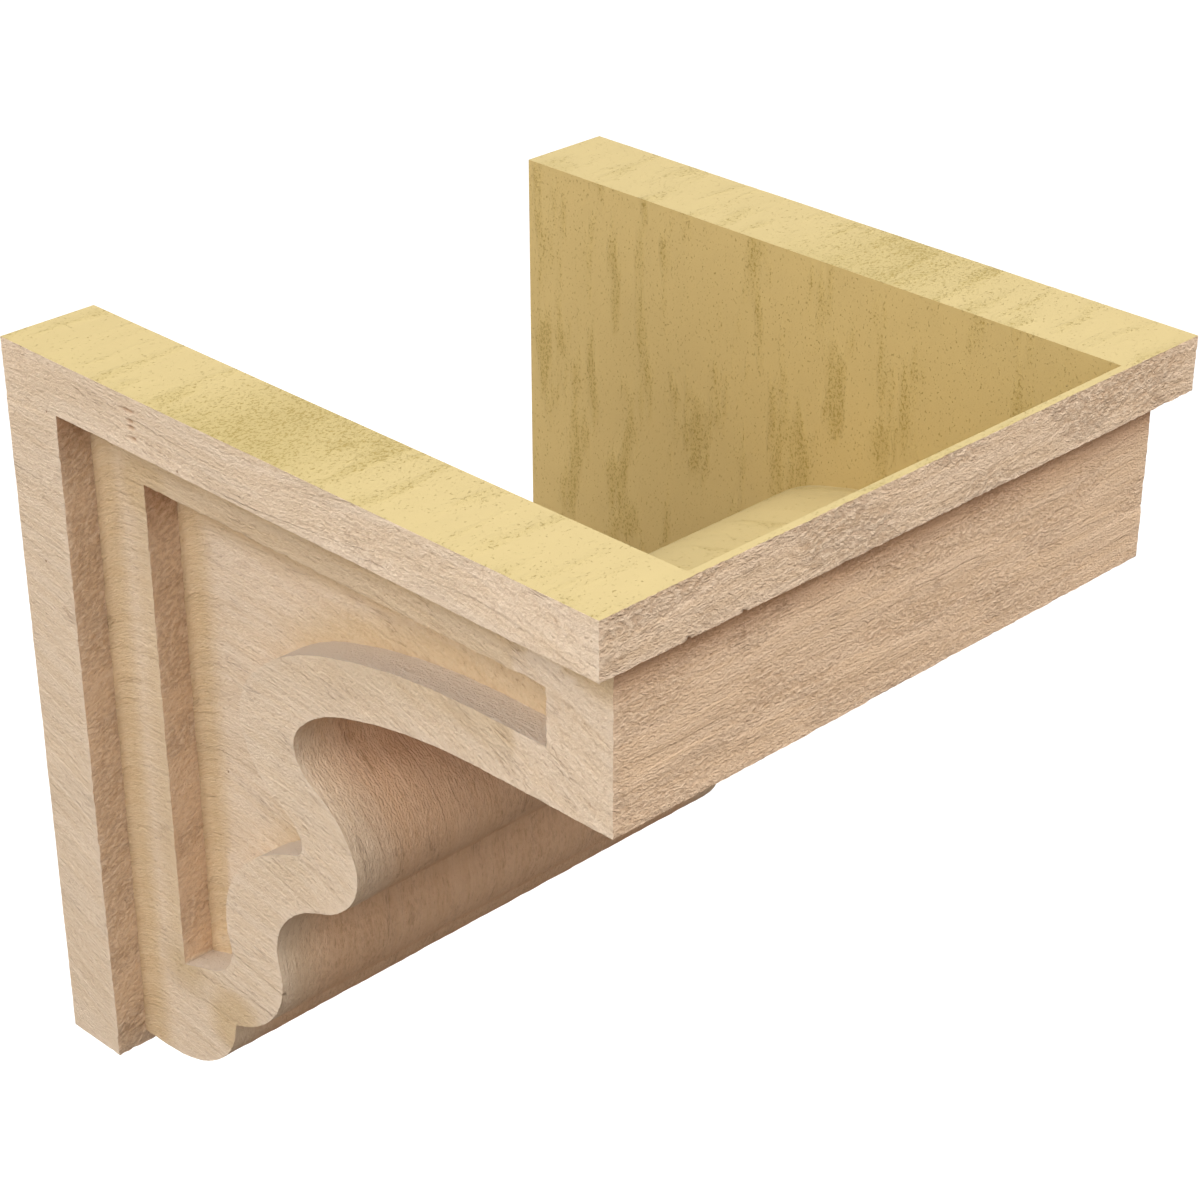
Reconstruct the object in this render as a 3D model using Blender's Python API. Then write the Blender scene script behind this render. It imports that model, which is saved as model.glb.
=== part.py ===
"""Hollow moulded corbel, open at its top and at its back. Metres, +Z up.

The back lies in the plane y = 0 and the corbel reaches out from it along -Y. The top lies in the plane
z = 0. The origin is the middle of the top back edge, where the corbel meets the wall.
"""

import math

import bmesh
import bpy
from mathutils import Vector

# The driving dimensions: the corbel fills a cube, and its front and soffit are a thin skin
WIDTH = 0.3048
DEPTH = 0.3048
HEIGHT = 0.3048
SKIN = 0.0035

# The mouldings are set out on a grid of this many squares, stretched to the size above
SQUARES_WIDE = 2.75
SQUARES_DEEP = 5.0
SQUARES_HIGH = 7.0

# Half widths from the middle plane out, in squares: each plane steps in by one eighth
HALF_CAP = SQUARES_WIDE / 2
HALF_BODY = HALF_CAP - 0.125
HALF_PANEL = HALF_BODY - 0.125
HALF_HOLLOW = 1.0

# Side view, in squares out from the wall and down from the top
STILE_OUT = 0.5
CAP_DOWN = 0.5
BODY_OUT = SQUARES_DEEP - 0.125
BODY_DOWN = SQUARES_HIGH - 0.125
FRONT_DOWN = 2.0
SOFFIT_BACK = 3.82

# The sunk panel keeps this far inside the body's outline, and this far from the wall and the top
RIM = 0.5
PANEL_OUT = 1.0
PANEL_DOWN = 1.0

# The scrolled underside from the flat soffit to the notch, as (radius in squares, degrees turned). A
# negative turn is a hollow and a positive one a swelling.
SCROLL = [
    (2.9, -22.2),
    (0.9, -32.8),
    (0.37, -89.3),
    (0.89, 41.9),
    (0.64, 77.6),
    (0.75, -76.8),
    (0.87, 76.9),
]
# The last swelling leaves the notch almost plumb and rounds off into the level underside
TOE_HEADING = 95.3
TOE_RADIUS = 1.43
TOE_TURN = 7.7
DEGREES_PER_SIDE = 6

# Shapes that are joined sink this many squares into each other, and a panel's cutter stands out this far
LAP = 0.25
PROUD = 0.02

# Edges that bend more than this are crisp, and the rest are round faces
CRISP = math.radians(20)

PAINT = (0.62, 0.45, 0.32)
PAINT_ROUGHNESS = 0.85


def metres(out, down):
    """A point of the side view, from squares to metres."""
    return Vector((-out * DEPTH / SQUARES_DEEP, -down * HEIGHT / SQUARES_HIGH))


def across(squares):
    return squares * WIDTH / SQUARES_WIDE


def step(heading, length):
    angle = math.radians(heading)
    return Vector((math.cos(angle), math.sin(angle))) * length


def run_of_arcs(start, heading, arcs, inset=0.0):
    """Points along tangent arcs, in squares, with the last heading. An inset moves the run into the body."""
    points = [start]
    for radius, turn in arcs:
        side = math.copysign(90, turn)
        swung = radius - math.copysign(inset, turn)
        centre = points[-1] + step(heading + side, swung)
        sides = max(1, round(abs(turn) / DEGREES_PER_SIDE))
        for k in range(1, sides + 1):
            points.append(centre - step(heading + turn * k / sides + side, swung))
        heading += turn
    return points, heading


def body_outline():
    """The side view of the body below the cap, from its front face round to the stile."""
    scroll, _ = run_of_arcs(Vector((SOFFIT_BACK, FRONT_DOWN)), 180, SCROLL)
    toe, heading = run_of_arcs(scroll[-1], TOE_HEADING, [(TOE_RADIUS, TOE_TURN)])
    closing = (BODY_DOWN - toe[-1].y) / (1 + math.cos(math.radians(heading)))
    round_off, _ = run_of_arcs(toe[-1], heading, [(closing, 180 - heading)])
    front = [Vector((BODY_OUT, CAP_DOWN)), Vector((BODY_OUT, FRONT_DOWN))]
    return front + scroll + toe[1:] + round_off[1:] + [Vector((STILE_OUT, BODY_DOWN))]


def panel_outline():
    """The sunk panel: the body's outline drawn in by the rim, closed along the top and the stile."""
    low, heading = run_of_arcs(Vector((SOFFIT_BACK, FRONT_DOWN - RIM)), 180, SCROLL, inset=RIM)
    last = low[-1]
    fall = (last.x - PANEL_OUT) * math.tan(math.radians(180 - heading))
    corners = [Vector((PANEL_OUT, PANEL_DOWN)), Vector((BODY_OUT - RIM, PANEL_DOWN))]
    start = Vector((BODY_OUT - RIM, FRONT_DOWN - RIM))
    return corners + [start] + low + [Vector((PANEL_OUT, last.y + fall))]


def hollow_outline():
    """The hollow: the whole outer side view, in metres, drawn in by the skin and run out past top and back."""
    front = [(SQUARES_DEEP, -LAP), (SQUARES_DEEP, CAP_DOWN)]
    foot = [(STILE_OUT, SQUARES_HIGH), (-LAP, SQUARES_HIGH)]
    line = [metres(*point) for point in front + body_outline() + foot]
    inner = [line[0] + Vector((SKIN, 0))]
    for before, here, after in zip(line, line[1:], line[2:]):
        arriving = (here - before).orthogonal().normalized()
        leaving = (after - here).orthogonal().normalized()
        mitre = (arriving + leaving).normalized()
        inner.append(here + mitre * SKIN / mitre.dot(arriving))
    inner.append(line[-1] + Vector((0, SKIN)))
    return inner + [Vector((line[-1].x, line[0].y))]


def slab(name, outline, left, right):
    """A solid of this side view, in metres, from x = left to x = right."""
    mesh = bpy.data.meshes.new(name)
    solid = bmesh.new()
    face = solid.faces.new([solid.verts.new((left, y, z)) for y, z in outline])
    grown = bmesh.ops.extrude_face_region(solid, geom=[face])["geom"]
    moved = [item for item in grown if isinstance(item, bmesh.types.BMVert)]
    bmesh.ops.translate(solid, verts=moved, vec=(right - left, 0, 0))
    bmesh.ops.recalc_face_normals(solid, faces=solid.faces)
    solid.to_mesh(mesh)
    solid.free()
    piece = bpy.data.objects.new(name, mesh)
    bpy.context.scene.collection.objects.link(piece)
    return piece


def combine(piece, other, operation):
    boolean = piece.modifiers.new(other.name, "BOOLEAN")
    boolean.operation = operation
    boolean.solver = "EXACT"
    boolean.object = other
    other.hide_render = True
    other.display_type = "WIRE"


def settle(piece):
    """Makes the joined and cut shape the piece's own mesh, smooth over its round faces."""
    bpy.context.view_layer.update()
    graph = bpy.context.evaluated_depsgraph_get()
    mesh = bpy.data.meshes.new_from_object(piece.evaluated_get(graph))
    piece.modifiers.clear()
    piece.data = mesh
    mesh.shade_smooth()
    mesh.set_sharp_from_angle(angle=CRISP)


def paint():
    material = bpy.data.materials.new("tan_paint")
    material.use_nodes = True
    shader = material.node_tree.nodes["Principled BSDF"]
    shader.inputs["Base Color"].default_value = (*PAINT, 1.0)
    shader.inputs["Roughness"].default_value = PAINT_ROUGHNESS
    shader.inputs["Metallic"].default_value = 0.0
    return material


def cap_and_stile():
    """The cap over everything and the stile down the wall, in one L."""
    corners = [
        (0, 0),
        (SQUARES_DEEP, 0),
        (SQUARES_DEEP, CAP_DOWN),
        (STILE_OUT, CAP_DOWN),
        (STILE_OUT, SQUARES_HIGH),
        (0, SQUARES_HIGH),
    ]
    outline = [metres(*corner) for corner in corners]
    return slab("corbel", outline, -across(HALF_CAP), across(HALF_CAP))


def body():
    """The body, sunk into the cap and the stile where it meets them."""
    behind = [
        (STILE_OUT - LAP, BODY_DOWN),
        (STILE_OUT - LAP, CAP_DOWN - LAP),
        (BODY_OUT, CAP_DOWN - LAP),
    ]
    outline = [metres(*point) for point in body_outline()[1:-1] + behind]
    return slab("body", outline, -across(HALF_BODY), across(HALF_BODY))


def panel(name, side):
    outline = [metres(*point) for point in panel_outline()]
    floor, outside = side * across(HALF_PANEL), side * (across(HALF_BODY) + PROUD)
    return slab(name, outline, min(floor, outside), max(floor, outside))


def hollow():
    return slab("hollow", hollow_outline(), -across(HALF_HOLLOW), across(HALF_HOLLOW))


for old in list(bpy.data.objects):
    bpy.data.objects.remove(old)

corbel = cap_and_stile()
combine(corbel, body(), "UNION")
combine(corbel, panel("left_panel", -1), "DIFFERENCE")
combine(corbel, panel("right_panel", 1), "DIFFERENCE")
combine(corbel, hollow(), "DIFFERENCE")
corbel.data.materials.append(paint())
settle(corbel)
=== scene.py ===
import math

import bmesh
import bpy
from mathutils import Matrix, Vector, noise
from mathutils.kdtree import KDTree


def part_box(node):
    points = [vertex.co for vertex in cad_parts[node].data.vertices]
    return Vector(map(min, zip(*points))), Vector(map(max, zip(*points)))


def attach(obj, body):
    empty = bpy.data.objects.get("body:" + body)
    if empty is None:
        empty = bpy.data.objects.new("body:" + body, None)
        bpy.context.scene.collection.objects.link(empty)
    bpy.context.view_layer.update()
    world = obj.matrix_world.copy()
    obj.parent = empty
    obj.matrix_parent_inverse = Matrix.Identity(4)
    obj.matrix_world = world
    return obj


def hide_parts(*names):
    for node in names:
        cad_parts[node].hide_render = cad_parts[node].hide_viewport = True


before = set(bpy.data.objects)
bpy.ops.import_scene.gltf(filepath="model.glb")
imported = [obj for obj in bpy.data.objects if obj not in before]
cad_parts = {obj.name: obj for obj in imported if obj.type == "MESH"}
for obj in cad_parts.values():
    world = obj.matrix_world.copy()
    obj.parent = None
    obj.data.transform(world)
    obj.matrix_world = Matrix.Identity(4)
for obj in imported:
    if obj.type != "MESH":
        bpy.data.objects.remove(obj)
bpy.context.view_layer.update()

# The camera stands left of the corbel, in front of it and above it. Its lens looks down at the near corner,
# and a small shift sets the corbel where the photograph has it.
camera = bpy.data.objects.new("camera", bpy.data.cameras.new("camera"))
bpy.context.scene.collection.objects.link(camera)
camera.location = (-0.69778, -0.85085, 0.41734)
camera.rotation_euler = (math.radians(60.13), 0, math.radians(-45.08))
camera.data.sensor_width = 36
camera.data.lens = 88.77
camera.data.shift_x = -0.0038
camera.data.shift_y = 0.0807
camera.data.clip_start = 0.01
bpy.context.scene.camera = camera

# The corbel is one shell of rigid foam, cast in one piece in a mould and open at its top and back. It is set
# out on a grid of squares, and each plane of its sides steps in by an eighth of a square.
SQUARES = (2.75, 5, 7)
STEP_IN = 0.125
low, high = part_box("corbel")
square = Vector([(high[axis] - low[axis]) / SQUARES[axis] for axis in range(3)])
CAP_X = high.x
BODY_X = CAP_X - STEP_IN * square.x
PANEL_X = BODY_X - STEP_IN * square.x
HOLLOW_X = PANEL_X - STEP_IN * square.x
BODY_Y = low.y + STEP_IN * square.y
STILE_Y = high.y - 0.5 * square.y
PANEL_Y = high.y - square.y
CAP_Z = high.z - 0.5 * square.z
PANEL_Z = high.z - square.z
BODY_Z = high.z - 2 * square.z

# Points this close lie on a plane or are one point, and a normal with this much of an axis faces along it
TOUCH = 0.0005
WELD = 1e-6
FACING = 0.9
FLAT = math.radians(1)

shell = bmesh.new()
shell.from_mesh(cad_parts["corbel"].data)
bmesh.ops.remove_doubles(shell, verts=shell.verts, dist=WELD)
bmesh.ops.dissolve_limit(shell, angle_limit=FLAT, verts=shell.verts, edges=shell.edges)
shell.normal_update()
SURFACES = ["cap front", "body front", "cap side", "stile side", "body side", "wall", "underside", "cut top",
            "cut back", "hollow side", "hollow floor"]
surface = shell.faces.layers.int.new("surface")


def surface_of(face):
    """The name of the surface that a face of the cast shape belongs to."""
    middle, normal = face.calc_center_median(), face.normal
    reach = max(abs(vert.co.x) for vert in face.verts)
    if normal.z > FACING and middle.z > high.z - TOUCH:
        return "cut top"
    if normal.y > FACING and middle.y > high.y - TOUCH:
        return "cut back"
    if reach < HOLLOW_X + TOUCH:
        return "hollow side" if abs(normal.x) > FACING else "hollow floor"
    if abs(normal.x) > FACING:
        return "cap side" if reach > CAP_X - TOUCH else "body side"
    if normal.y < -FACING and middle.y < low.y + TOUCH:
        return "cap front"
    if normal.y < -FACING and middle.y < BODY_Y + TOUCH:
        return "body front"
    if normal.y < -FACING and middle.y > STILE_Y - TOUCH:
        return "wall"
    right = sum(vert.co.x > 0 for vert in face.verts)
    return "wall" if right in (0, len(face.verts)) else "underside"


def faces_of(name):
    return [face for face in shell.faces if SURFACES[face[surface]] == name]


def with_edges(faces):
    """These faces with their edges and points, each once."""
    edges = dict.fromkeys(edge for face in faces for edge in face.edges)
    verts = dict.fromkeys(vert for face in faces for vert in face.verts)
    return faces + list(edges) + list(verts)


def slice_up(name, axis, pitch):
    """Cuts one surface by even planes across an axis."""
    geometry = with_edges(faces_of(name))
    places = [item.co[axis] for item in geometry if isinstance(item, bmesh.types.BMVert)]
    first, last = min(places), max(places)
    pieces = max(1, round((last - first) / pitch))
    across = Vector([axis == k for k in range(3)])
    for cut in range(1, pieces):
        place = across * (first + (last - first) * cut / pieces)
        halves = bmesh.ops.bisect_plane(shell, geom=geometry, plane_co=place, plane_no=across, dist=WELD)
        geometry = halves["geom"]


for face in shell.faces:
    face[surface] = SURFACES.index(surface_of(face))
side = with_edges(faces_of("cap side"))
bmesh.ops.bisect_plane(shell, geom=side, plane_co=(0, 0, CAP_Z), plane_no=(0, 0, 1), dist=WELD)
for face in faces_of("cap side"):
    if face.calc_center_median().z < CAP_Z:
        face[surface] = SURFACES.index("stile side")

# Long sides of the scroll and of the hollow's floor are first divided along the profile
PROFILE_PITCH = {"underside": 0.0058, "hollow floor": 0.011}
cuts_of = {}
for name, pitch in PROFILE_PITCH.items():
    for face in faces_of(name):
        for edge in face.edges:
            level = abs(edge.verts[0].co.x - edge.verts[1].co.x) < TOUCH
            if level and len(face.verts) == 4 and edge not in cuts_of:
                cuts_of[edge] = math.ceil(edge.calc_length() / pitch) - 1
for cuts in sorted(set(cuts_of.values()) - {0}):
    edges = [edge for edge, number in cuts_of.items() if number == cuts]
    bmesh.ops.subdivide_edges(shell, edges=edges, cuts=cuts)

# How far apart the cuts lie on each surface, along x, y and z as 0, 1 and 2
PITCHES = {
    "hollow floor": {0: 0.014},
    "hollow side": {2: 0.013, 1: 0.013},
    "cut back": {2: 0.012, 0: 0.012},
    "cut top": {1: 0.010, 0: 0.010},
    "underside": {0: 0.0080},
    "body side": {2: 0.0050, 1: 0.0062},
    "stile side": {2: 0.0040, 1: 0.0050},
    "wall": {2: 0.0044, 1: 0.0060, 0: 0.0030},
    "cap side": {2: 0.0022, 1: 0.0040},
    "body front": {2: 0.0022, 0: 0.0036},
    "cap front": {2: 0.0015, 0: 0.0024},
}
for name, pitches in PITCHES.items():
    for axis, pitch in pitches.items():
        slice_up(name, axis, pitch)

# Where grain was torn out of the left side of the cap, the surface needs smaller faces
TORN = Vector((low.x, -0.0740, -0.0100))
TORN_REACH = 0.0085
ragged = [face for face in faces_of("cap side") if (face.calc_center_median() - TORN).length < TORN_REACH]
ragged_edges = dict.fromkeys(edge for face in ragged for edge in face.edges)
bmesh.ops.subdivide_edges(shell, edges=list(ragged_edges), cuts=2, use_grid_fill=True)
bmesh.ops.connect_verts_concave(shell, faces=shell.faces)

CRISP = math.radians(25)
for edge in shell.edges:
    edge.smooth = edge.calc_face_angle(0) < CRISP
for face in shell.faces:
    face.smooth = True
mesh = bpy.data.meshes.new("moulding")
shell.to_mesh(mesh)
shell.free()
corbel = bpy.data.objects.new("moulding", mesh)
bpy.context.scene.collection.objects.link(corbel)
halved = corbel.modifiers.new("halved", "SUBSURF")
halved.subdivision_type = "SIMPLE"
halved.levels = 1
halved.render_levels = 1
bpy.context.view_layer.update()
graph = bpy.context.evaluated_depsgraph_get()
mesh = bpy.data.meshes.new_from_object(corbel.evaluated_get(graph))
corbel.modifiers.clear()
corbel.data = mesh

# The mould was taken from rough timber. Its grain runs along the corbel on the sides and across it on the
# fronts, and it follows the curve under the scroll. It is cast in the surface, deepest on the cap's front and
# on the upright walls of the steps and panels.
relief = bmesh.new()
relief.from_mesh(mesh)
relief.normal_update()
surface = relief.faces.layers.int["surface"]


def profile_lengths(name):
    """How far along a curved surface's profile each line across it lies, in metres, by its y and z."""
    along = {}
    edges = {}
    for face in relief.faces:
        if SURFACES[face[surface]] == name:
            for edge in face.edges:
                one, two = [(round(vert.co.y, 5), round(vert.co.z, 5)) for vert in edge.verts]
                if one != two:
                    edges.setdefault(one, set()).add(two)
                    edges.setdefault(two, set()).add(one)
    while len(along) < len(edges):
        left = [place for place in edges if place not in along]
        start = min(left, key=lambda place: (len(edges[place]), place))
        along[start] = 0.0
        ready = [start]
        while ready:
            here = ready.pop()
            for there in edges[here]:
                if there not in along:
                    along[there] = along[here] + math.dist(here, there)
                    ready.append(there)
    return along


lengths_on = {name: profile_lengths(name) for name in ("underside", "hollow floor")}

# On the sides the grain slants more towards the foot, wanders, and bends up beside the stile
SLANT = 0.3
SLANT_DOWN = 0.2
WANDER = 0.02
SWIRL = 0.012
SWIRL_REACH = 0.011
WALL_SLANT = 0.45
WALL_COARSE = 1.3
LONG_GRAIN = 1.4


def grain_at(name, normal, place):
    """Where a point lies on its surface: along the grain, across it, and through the foam, in metres."""
    if name in ("cap front", "body front"):
        return Vector((place.x, place.z, place.y))
    if name in ("cap side", "stile side", "body side"):
        slant = SLANT * min(1.0, (high.z - place.z) / SLANT_DOWN)
        wander = WANDER * noise.noise(Vector((place.y / 0.16, place.z / 0.13, place.x * 40)))
        across = place.z - slant * place.y + wander
        if name == "body side":
            corner = PANEL_Y if abs(place.x) < PANEL_X + TOUCH else STILE_Y
            across += SWIRL * math.exp(-max(0.0, corner - place.y) / SWIRL_REACH)
        return Vector((place.y, across, place.x))
    if name in lengths_on:
        length = lengths_on[name][(round(place.y, 5), round(place.z, 5))]
        return Vector((length / LONG_GRAIN, place.x, 0.1))
    if name == "wall":
        if abs(normal.y) > abs(normal.z):
            along, across = place.x + WALL_SLANT * place.z, place.z - WALL_SLANT * place.x
            return Vector((along, across, place.y)) / WALL_COARSE
        return Vector((place.y, place.x, place.z))
    if name == "hollow side":
        return Vector((place.z, place.y, place.x))
    if name == "cut top":
        return Vector((place.x, place.y, 0.3))
    return Vector((place.z, place.x, 0.5))


# Each surface's relief: how deep its long swells and its short lumps are, in metres, and from 0 to 1 how
# lumpy it is on the whole and at the least
DEPTHS = {
    "cap front": (0.00008, 0.00040, 0.85, 0.5),
    "body front": (0.00030, 0.00035, 0.58, 0.2),
    "cap side": (0.00010, 0.00018, 0.6, 0.2),
    "stile side": (0.00010, 0.00012, 0.6, 0.2),
    "body side": (0.00010, 0.00012, 0.6, 0.2),
    "wall": (0.00012, 0.00055, 0.8, 0.4),
    "underside": (0.00016, 0.00024, 0.6, 0.2),
    "cut top": (0.00001, 0.00001, 0.5, 0.2),
    "cut back": (0.00002, 0.00001, 0.5, 0.2),
    "hollow side": (0.00003, 0.00001, 0.5, 0.2),
    "hollow floor": (0.00003, 0.00001, 0.5, 0.2),
}
ROUGHEST = 0.00040
PATCHINESS = 1.4
HIGHEST = 0.6


def bumps(spot, long, wide, shift=0):
    """Noise between about -1 and 1 at a spot of the grain, in features this long and this wide, in metres."""
    along, across, through = spot
    return noise.noise(Vector((along / long, across / wide, through * 9 + shift)))


def carve(name, spot, extra):
    """The relief's depth at a spot of the grain and how lumpy it is there, from 0 to 1."""
    swell_depth, lump_depth, usual, least = DEPTHS[name]
    lumpy = min(1.0, max(least, usual + extra + PATCHINESS * bumps(spot, 0.034, 0.014, 3)))
    swell = bumps(spot, 0.075, 0.0075) + 0.6 * bumps(spot, 0.060, 0.0036, 7)
    lump = bumps(spot, 0.0027, 0.0018) + 0.6 * bumps(spot, 0.0015, 0.0011, 5)
    depth = swell_depth * max(0.0, HIGHEST - swell) + lump_depth * lumpy * max(0.0, HIGHEST - lump)
    return depth, min(1.0, lumpy * lump_depth / ROUGHEST)


# Nicks in the cap's lower front edge, and grain torn out of its left side: the place, how far each dent
# reaches along x, y and z, and how deep it is
DENTS = [
    ((-0.1130, low.y, CAP_Z), (0.0007, 0.0030, 0.0011), 0.0010),
    ((-0.0880, low.y, CAP_Z), (0.0006, 0.0030, 0.0009), 0.0009),
    ((low.x, -0.0738, -0.0056), (0.0030, 0.0032, 0.0006), 0.0012),
    ((low.x, -0.0752, -0.0094), (0.0030, 0.0013, 0.0007), 0.0012),
    ((low.x, -0.0752, -0.0116), (0.0030, 0.0019, 0.0006), 0.0012),
    ((low.x, -0.0760, -0.0158), (0.0030, 0.0016, 0.0007), 0.0009),
]
# Dents this deep take the full painted shade at their bottoms
DARK_DENT = 0.0008


def dented(place):
    """How deep the dents are at a place."""
    depth = 0.0
    for middle, reach, deepest in DENTS:
        away = sum(((place[axis] - middle[axis]) / reach[axis]) ** 2 for axis in range(3))
        if away < 9:
            depth += deepest * math.exp(-away)
    return depth


# The band of open cells that the saw laid bare lies across both arms, a little askew, and thins out more
# slowly towards the front
BAND_Y = -0.153
BAND_SKEW = -0.185
BAND_WIDTH = 0.038
BAND_TAIL = 1.35
BAND_ON_RIGHT = 0.75
CELLS_INSIDE = 0.15


def open_cells(name, place):
    """How thick the open cells lie on the bare foam, from 0 to 1, beyond their usual streaks."""
    if name == "hollow side":
        return CELLS_INSIDE
    if name != "cut top":
        return 0.0
    away = (place.y - BAND_Y - BAND_SKEW * place.x) / BAND_WIDTH
    if away < 0:
        away /= BAND_TAIL
    return math.exp(-away ** 2) * (1.0 if place.x < 0 else BAND_ON_RIGHT)


# The finish needs to know the inner corners, where painted shade goes, and the outer edges, where it is pale.
# A corner that is turned to the wall counts less.
FOAM_SURFACES = ("cut top", "cut back", "hollow side", "hollow floor")
TURNED_AWAY = 0.9
seen = {}
on_sill = {}
corners = KDTree(len(relief.edges))
rims = KDTree(len(relief.edges))
for face in relief.faces:
    face.material_index = int(SURFACES[face[surface]] in FOAM_SURFACES)
for edge in relief.edges:
    if not edge.smooth and all(face.material_index == 0 for face in edge.link_faces):
        middle = (edge.verts[0].co + edge.verts[1].co) / 2
        if edge.is_convex:
            rims.insert(middle, edge.index)
        else:
            corners.insert(middle, edge.index)
            away = max(face.normal.y for face in edge.link_faces)
            seen[edge.index] = min(1.0, max(0.0, (TURNED_AWAY - away) / TURNED_AWAY))
            on_sill[edge.index] = max(face.normal.z for face in edge.link_faces) > 0.1
corners.balance()
rims.balance()

# Each corner of a face carries its place on the grain, and marks for the finish, mostly from 0 to 1. The
# nook, shade, warm, sill, torn, below and open end marks place painted light and shade. The reaches are in
# metres.
MARKS = ("rough", "nook", "shade", "warm", "cells", "inside", "rim", "sill", "torn", "below", "open end")
NOOK_REACH = 0.022
RIM_REACH = 0.004
SHADE_REACH = 0.021
WALL_SHADE_REACH = 0.03
WALL_SHADE = 0.7
# The cove's painted shade grows from its open ends over this reach, starting at this share
COVE_REACH = 0.029
COVE_START = 0.15
COVE_SHADE = 0.3
BELOW_REACH = 0.2
BELOW_BACK = 0.45
BELOW_DOWN = 0.55
FOOT_REACH = 0.022
FOOT_LUMPS = 0.45
LEDGE_CALM = 0.3
# How much warm painted shade each front-facing surface, and the cove, takes at the least
SHADE_WARMTH = {"cap front": 0.28, "body front": 0.4, "wall": 0.3, "underside": 0.55}
grain = relief.loops.layers.float_vector.new("grain")
marks = {mark: relief.loops.layers.float.new(mark) for mark in MARKS}


def near(distance, reach):
    """1 at no distance, falling evenly to 0 at the reach."""
    return max(0.0, 1 - distance / reach)


moves = []
for vert in relief.verts:
    parts = {}
    for loop in vert.link_loops:
        parts.setdefault(SURFACES[loop.face[surface]], []).append(loop)
    nearest, distance = corners.find(vert.co)[1:]
    in_corner = seen[nearest] * near(distance, NOOK_REACH)
    deep = min(1.0, COVE_START + max(0.0, BODY_X - abs(vert.co.x)) / COVE_REACH)
    on_rim = near(rims.find(vert.co)[2], RIM_REACH)
    dent = dented(vert.co)
    move = Vector()
    for name, loops in parts.items():
        normal = sum((loop.face.normal for loop in loops), Vector()).normalized()
        extra = FOOT_LUMPS * near(vert.co.z - BODY_Z, FOOT_REACH) if name == "body front" else 0.0
        spot = grain_at(name, loops[0].face.normal, vert.co)
        depth, lumpy = carve(name, spot, extra)
        if name == "wall" and normal.z > 0.1:
            depth, lumpy = LEDGE_CALM * depth, LEDGE_CALM * lumpy
        move -= normal * (depth + dent)
        # warm is painted warm shade on faces turned down and painted cool light on faces turned up; torn is
        # painted shade in the dents
        value = {"rough": lumpy, "cells": open_cells(name, vert.co), "rim": on_rim, "warm": -normal.z,
                 "torn": min(1.0, dent / DARK_DENT)}
        # Faces that look to the front take some warm painted shade throughout
        if normal.y < -FACING:
            value["warm"] = max(value["warm"], SHADE_WARMTH.get(name, 0.0))
        # In the cove under the scroll: warm painted shade deepening inwards, and painted light at its open
        # ends
        if name == "underside":
            value["warm"] = max(-normal.z, SHADE_WARMTH[name]) * deep
            value["shade"] = COVE_SHADE * deep
            value["open end"] = 1 - deep
        if name == "hollow side":
            value["inside"] = 1.0
            # Painted light: the inside walls grow brighter towards the back and the bottom
            back = BELOW_BACK * (vert.co.y - low.y) / (high.y - low.y)
            value["below"] = back + BELOW_DOWN * min(1.0, -vert.co.z / BELOW_REACH)
        # Painted shade: the body side is yellower and darker near its inner corners
        if name == "body side":
            value["nook"] = in_corner
            # Painted shade, cooler and dimmer, beside the low walls that face up
            value["sill"] = in_corner * on_sill[nearest]
        # Painted shadow under the cap's overhang, fading downwards
        if name == "body front":
            value["shade"] = near(CAP_Z - vert.co.z, SHADE_REACH)
        # Painted shade under the ceilings of the stile's recess and the panel
        if name == "wall" and normal.y < -FACING:
            ceiling = CAP_Z if vert.co.y > STILE_Y - TOUCH else PANEL_Z
            value["shade"] = WALL_SHADE * near(ceiling - vert.co.z, WALL_SHADE_REACH)
        for loop in loops:
            loop[grain] = spot if name != "wall" else grain_at(name, loop.face.normal, vert.co)
            for mark, amount in value.items():
                loop[marks[mark]] = amount
    moves.append(move)
for vert, move in zip(relief.verts, moves):
    moved = vert.co + move
    vert.co = [min(max(moved[axis], low[axis]), high[axis]) for axis in range(3)]
relief.to_mesh(mesh)
relief.free()


# The outside is sprayed with a tan primer, dull and dry. Its colour carries painted light and shade too:
# paler on the raised grain as a painted highlight, browner in the pits, cracks and dents as painted shade,
# browner under the corbel and yellower in the corners as painted shade, and cooler where faces turn up as
# painted light.
def node(tree, kind, inputs=(), **settings):
    """A shader node with its settings, and with a value or a link in each of the sockets named."""
    made = tree.nodes.new("ShaderNode" + kind)
    for name, value in settings.items():
        setattr(made, name, value)
    for name, value in dict(inputs).items():
        if isinstance(value, bpy.types.NodeSocket):
            tree.links.new(value, made.inputs[name])
        else:
            made.inputs[name].default_value = value
    return made


def attribute(tree, name, output="Fac"):
    return node(tree, "Attribute", attribute_name=name).outputs[output]


def maths(tree, operation, one, two=0.0, three=0.0):
    return node(tree, "Math", {0: one, 1: two, 2: three}, operation=operation).outputs[0]


def times(tree, one, two):
    return maths(tree, "MULTIPLY", one, two)


def added(tree, total, part, share):
    """A total with this share of a part added to it."""
    return maths(tree, "MULTIPLY_ADD", part, share, total)


def grain_noise(tree, sizes, detail=2.0, roughness=0.5):
    """Noise along the grain, whose features are about this long, this wide and this deep, in metres."""
    spot = attribute(tree, "grain", "Vector")
    scaled = node(tree, "VectorMath", {0: spot, 1: [1 / size for size in sizes]}, operation="MULTIPLY")
    inputs = {"Vector": scaled.outputs[0], "Scale": 1.0, "Detail": detail, "Roughness": roughness}
    return node(tree, "TexNoise", inputs).outputs["Fac"]


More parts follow.
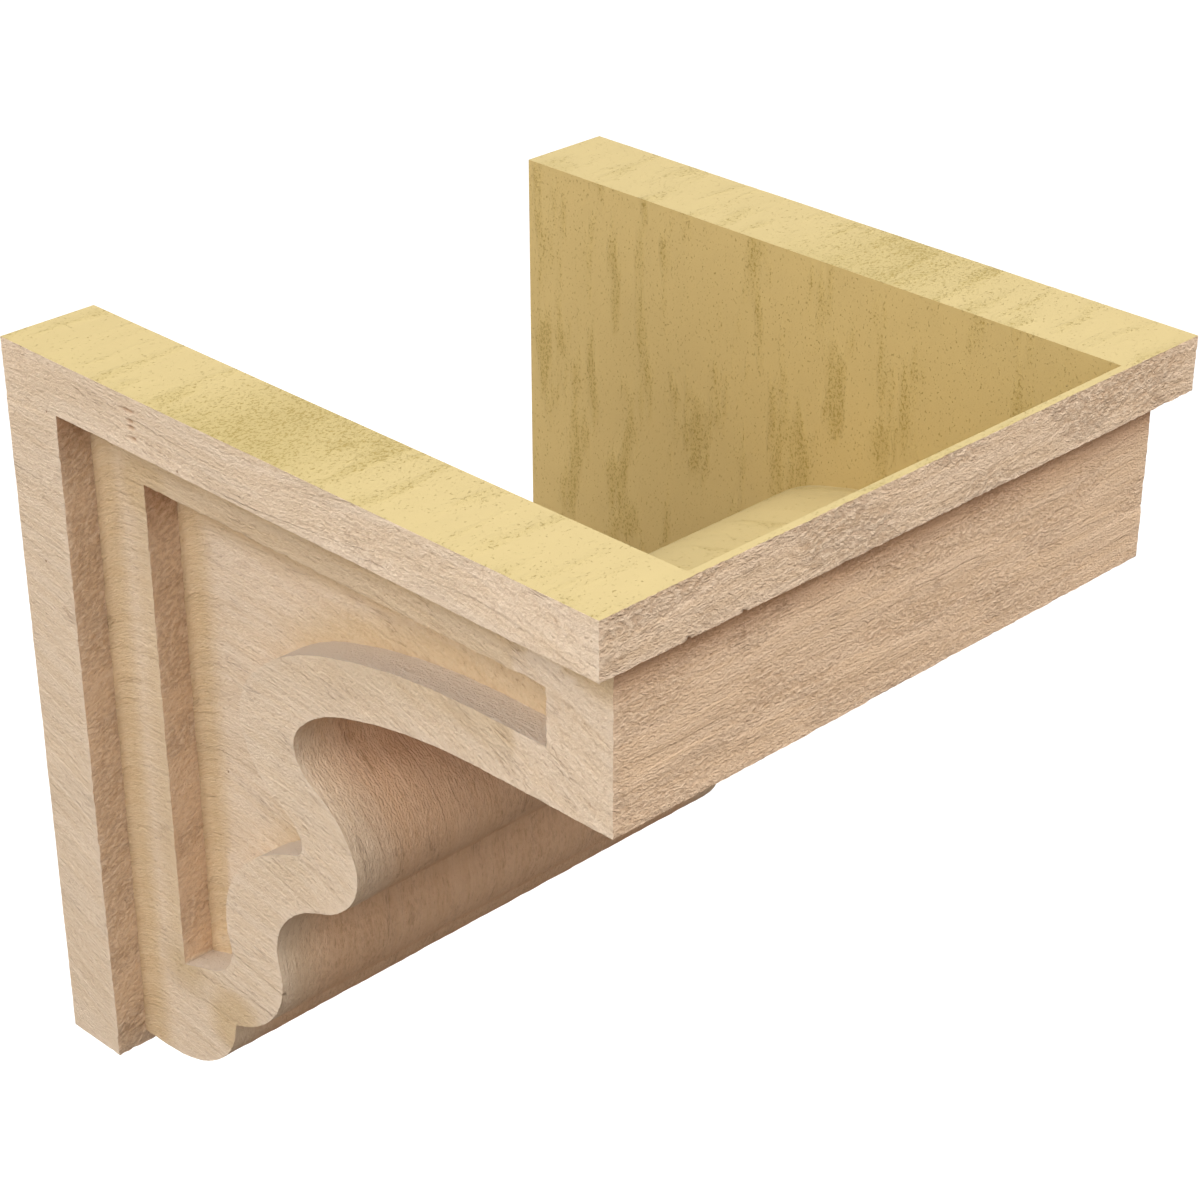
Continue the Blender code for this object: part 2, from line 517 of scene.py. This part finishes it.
def faded(tree, value, start, end, least=0.0, most=1.0):
    """A value's smooth change from least to most as it goes from start to end."""
    inputs = {"Value": value, "From Min": start, "From Max": end, "To Min": least, "To Max": most}
    return node(tree, "MapRange", inputs, interpolation_type="SMOOTHSTEP").outputs["Result"]


def close_to(tree, value, middle, reach):
    """1 where a value is at the middle, falling smoothly to 0 at the reach from it."""
    return faded(tree, maths(tree, "ABSOLUTE", maths(tree, "SUBTRACT", value, middle)), reach, 0.0)


def mixed(tree, share, one, two, kind="MIX"):
    """Two colours mixed, the second by this share, where each can be a value or a link."""
    made = node(tree, "Mix", data_type="RGBA", blend_type=kind)
    for socket, value in (("Factor", share), ("A", one), ("B", two)):
        if isinstance(value, bpy.types.NodeSocket):
            tree.links.new(value, made.inputs[socket])
        elif socket == "Factor":
            made.inputs[socket].default_value = value
        else:
            made.inputs[socket].default_value = (*value, 1)
    return made.outputs["Result"]


def new_finish(name, roughness, specular):
    """A material with its tree and its shader."""
    material = bpy.data.materials.new(name)
    material.use_nodes = True
    shader = material.node_tree.nodes["Principled BSDF"]
    shader.inputs["Roughness"].default_value = roughness
    shader.inputs["Specular IOR Level"].default_value = specular
    return material, material.node_tree, shader


def raised(tree, shader, height):
    """Puts a height in millimetres on the shader as relief."""
    bump = node(tree, "Bump", {"Height": height, "Distance": 0.001, "Strength": 1.0})
    tree.links.new(bump.outputs["Normal"], shader.inputs["Normal"])


PRIMER = (0.845, 0.648, 0.455)
PRIMER_PALE_AND_HIGHLIGHT = (0.93, 0.76, 0.59)
# Painted shade for the relief's pits, cracks, creases and dents
PRIMER_SHADED = (0.40, 0.22, 0.12)
# Painted cool light on faces turned up
PRIMER_SKYLIT = (0.77, 0.65, 0.525)
NOOK_SHADE_TINT = (0.87, 0.81, 0.67)
SHADE_TINT = (0.71, 0.55, 0.45)
WARM_SHADE_TINT = (1.14, 0.89, 0.68)
SILL_SHADE_TINT = (0.90, 0.92, 0.96)
OPEN_END_LIGHT_TINT = (1.17, 1.16, 1.12)
BLOWHOLES = [(-0.1524, -0.0245, -0.0219), (-0.1524, -0.0144, -0.0856), (-0.1524, -0.1004, -0.0201),
             (-0.1247, -0.0795, -0.1611)]
BLOWHOLE = 0.0007
primer, tree, shader = new_finish("primer", 0.92, 0.15)
lumpy = attribute(tree, "rough")
warm = attribute(tree, "warm")
plain = faded(tree, lumpy, 0.0, 0.8, 1.0, 0.0)
calm = faded(tree, warm, 0.1, 0.7, 1.0, 0.2)
hair = grain_noise(tree, (0.0030, 0.0010, 0.003), detail=4, roughness=0.7)
scratch = grain_noise(tree, (0.024, 0.0014, 0.003), detail=3, roughness=0.6)
sand = grain_noise(tree, (0.0011, 0.0008, 0.001), roughness=0.6)
lump = grain_noise(tree, (0.0023, 0.0015, 0.0018), detail=4, roughness=0.6)
flake = faded(tree, lump, 0.38, 0.62)
line = grain_noise(tree, (0.028, 0.0035, 0.01), detail=3, roughness=0.6)
broad = grain_noise(tree, (0.05, 0.004, 0.02))
ledge = faded(tree, grain_noise(tree, (0.11, 0.0090, 0.03)), 0.50, 0.53)
where = grain_noise(tree, (0.022, 0.010, 0.02))
crack = times(tree, close_to(tree, line, 0.5, 0.02), faded(tree, where, 0.54, 0.66))
place = node(tree, "TexCoord").outputs["Object"]
for middle in BLOWHOLES:
    away = node(tree, "VectorMath", {0: place, 1: middle}, operation="DISTANCE").outputs["Value"]
    crack = maths(tree, "MAXIMUM", crack, faded(tree, away, BLOWHOLE, BLOWHOLE / 2, most=2.0))
wrinkle = times(tree, close_to(tree, lump, 0.47, 0.05), maths(tree, "POWER", lumpy, 3.0))
fine = times(tree, times(tree, plain, calm), 1.1)
height = times(tree, hair, maths(tree, "ADD", fine, 0.1))
height = added(tree, height, times(tree, scratch, fine), 0.5)
height = added(tree, height, sand, 0.9)
height = added(tree, height, times(tree, lump, lumpy), 1.5)
height = added(tree, height, crack, -0.25)
height = added(tree, height, times(tree, ledge, plain), 0.3)
height = added(tree, height, wrinkle, -0.1)
raised(tree, shader, height)
colour = mixed(tree, faded(tree, broad, 0.35, 0.65, most=0.4), PRIMER, PRIMER_PALE_AND_HIGHLIGHT)
for share, paint, kind in [
    # Painted highlight on the raised grain, and painted shade in the pits, cracks, creases and dents
    (faded(tree, hair, 0.50, 0.68, most=0.45), PRIMER_PALE_AND_HIGHLIGHT, "MIX"),
    (faded(tree, hair, 0.44, 0.28, most=0.42), PRIMER_SHADED, "MIX"),
    (times(tree, faded(tree, flake, 0.6, 1.0, most=0.4), lumpy), PRIMER_PALE_AND_HIGHLIGHT, "MIX"),
    (times(tree, faded(tree, flake, 0.4, 0.0, most=0.33), lumpy), PRIMER_SHADED, "MIX"),
    (times(tree, crack, 0.4), PRIMER_SHADED, "MIX"),
    (times(tree, wrinkle, 0.15), PRIMER_SHADED, "MIX"),
    (times(tree, attribute(tree, "rim"), 0.35), PRIMER_PALE_AND_HIGHLIGHT, "MIX"),
    # Painted shade in the body side's inner corners
    (faded(tree, attribute(tree, "nook"), 0.0, 0.6), NOOK_SHADE_TINT, "MULTIPLY"),
    # Painted shadow under the cap, and painted shade under the ceilings and in the cove
    (faded(tree, attribute(tree, "shade"), 0.0, 1.0), SHADE_TINT, "MULTIPLY"),
    # Warm painted shade on faces turned down and on the fronts
    (faded(tree, warm, 0.0, 1.0), WARM_SHADE_TINT, "MULTIPLY"),
    # Painted cool light on faces turned up
    (faded(tree, warm, -0.2, -0.9), PRIMER_SKYLIT, "MIX"),
    # Cooler painted shade beside the low walls that face up
    (attribute(tree, "sill"), SILL_SHADE_TINT, "MULTIPLY"),
    # Painted light at the cove's open ends
    (attribute(tree, "open end"), OPEN_END_LIGHT_TINT, "MULTIPLY"),
    # Painted shade in the dents
    (times(tree, attribute(tree, "torn"), 0.75), PRIMER_SHADED, "MIX"),
]:
    colour = mixed(tree, share, colour, paint, kind)
tree.links.new(colour, shader.inputs["Base Color"])
mesh.materials.append(primer)

# Inside, and where the casting was sawn off along the top and the back, the foam is bare: pale yellow, fine
# and smooth, with small open cells that crowd together in streaks and patches. The inside walls carry painted
# light, brighter towards the back and the bottom.
FOAM = (0.546, 0.430, 0.204)
FOAM_OPEN = (0.61, 0.475, 0.185)
FOAM_PIT = (0.33, 0.225, 0.045)
INSIDE_TINT = (1.04, 0.98, 0.86)
BELOW_LIGHT_TINT = (1.25, 1.26, 1.32)
bare, tree, shader = new_finish("bare_foam", 0.85, 0.2)
inside = attribute(tree, "inside")
streaks = faded(tree, grain_noise(tree, (0.045, 0.010, 0.02)), 0.48, 0.70)
dense = added(tree, attribute(tree, "cells"), streaks, added(tree, 0.55, inside, 0.35))
dense = maths(tree, "MINIMUM", dense, 1.1)
sponge = grain_noise(tree, (0.0014, 0.0010, 0.0014), detail=3, roughness=0.7)
pit = faded(tree, added(tree, sponge, dense, 0.13), 0.635, 0.71)
cloud = grain_noise(tree, (0.03, 0.012, 0.02))
colour = mixed(tree, cloud, [part * 0.96 for part in FOAM], [part * 1.04 for part in FOAM])
for share, paint, kind in [
    (faded(tree, dense, 0.0, 1.2, most=0.45), FOAM_OPEN, "MIX"),
    (times(tree, pit, 0.56), FOAM_PIT, "MIX"),
    (inside, INSIDE_TINT, "MULTIPLY"),
    (attribute(tree, "below"), BELOW_LIGHT_TINT, "MULTIPLY"),
]:
    colour = mixed(tree, share, colour, paint, kind)
tree.links.new(colour, shader.inputs["Base Color"])
raised(tree, shader, added(tree, times(tree, times(tree, sponge, dense), 1.2), pit, -0.2))
mesh.materials.append(bare)
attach(corbel, "root")
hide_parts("corbel")

# The studio is a pale floor far below the corbel, under a wide pale sky that is dark below the horizon, with
# soft lamps on the left, in front and overhead. A pale round backdrop stands on the floor.
FLOOR_Z = -1.6
FLOOR_SIZE = 20
BACKDROP_RADIUS = 18
BACKDROP_HEIGHT = 24
SKY = 0.71
GROUND = (0.115, 0.078, 0.052)
WHITE = 0.9
world = bpy.data.worlds.new("studio")
bpy.context.scene.world = world
world.use_nodes = True
sky = world.node_tree
upward = node(sky, "SeparateXYZ", {0: node(sky, "TexCoord").outputs["Generated"]}).outputs["Z"]
above = faded(sky, upward, -0.05, 0.05)
sky.links.new(mixed(sky, above, GROUND, (SKY, SKY, SKY)), sky.nodes["Background"].inputs["Color"])


def stage_piece(name, sheet, finish, glow, unseen):
    """Sets up a sheet of the studio in a white that glows this much, unseen by these kinds of ray."""
    sheet_mesh = bpy.data.meshes.new(name)
    sheet.to_mesh(sheet_mesh)
    sheet.free()
    piece = bpy.data.objects.new(name, sheet_mesh)
    bpy.context.scene.collection.objects.link(piece)
    white, _, shader = new_finish(finish, 0.9, 0.1)
    shader.inputs["Base Color"].default_value = (WHITE, WHITE, WHITE, 1)
    shader.inputs["Emission Color"].default_value = (1, 1, 1, 1)
    shader.inputs["Emission Strength"].default_value = glow
    sheet_mesh.materials.append(white)
    for kind in unseen:
        setattr(piece, "visible_" + kind, False)


sheet = bmesh.new()
bmesh.ops.create_grid(sheet, x_segments=1, y_segments=1, size=FLOOR_SIZE)
bmesh.ops.translate(sheet, verts=sheet.verts, vec=(0, 0, FLOOR_Z))
stage_piece("floor", sheet, "white_paper", 0.4, ["diffuse"])

# The backdrop gives no light or shadow of its own
sheet = bmesh.new()
bmesh.ops.create_cone(
    sheet,
    segments=96,
    radius1=BACKDROP_RADIUS,
    radius2=BACKDROP_RADIUS,
    depth=BACKDROP_HEIGHT,
)
bmesh.ops.translate(sheet, verts=sheet.verts, vec=(0, 0, FLOOR_Z + BACKDROP_HEIGHT / 2))
stage_piece("backdrop", sheet, "white_cloth", 0.8, ["diffuse", "glossy", "shadow"])


def soft_lamp(name, place, size, power):
    """A round soft lamp of this width and power, turned to the corbel's middle."""
    lamp = bpy.data.objects.new(name, bpy.data.lights.new(name, "AREA"))
    lamp.data.shape = "DISK"
    lamp.data.size = size
    lamp.data.energy = power
    lamp.location = place
    lamp.rotation_euler = (Vector((0, -0.15, -0.15)) - Vector(place)).to_track_quat("-Z", "Y").to_euler()
    bpy.context.scene.collection.objects.link(lamp)


soft_lamp("left lamp", (-3.0, 0.2, 0.3), 2.0, 25)
soft_lamp("high left lamp", (-2.4, 0.1, 2.0), 1.4, 21.4)
soft_lamp("near lamp", (-2.2, -1.6, 1.8), 1.4, 13.8)
soft_lamp("front lamp", (0.3, -2.2, 2.2), 1.4, 44)
soft_lamp("top lamp", (0, -0.2, 3.0), 1.6, 21.8)
bpy.context.scene.view_settings.view_transform = "Standard"
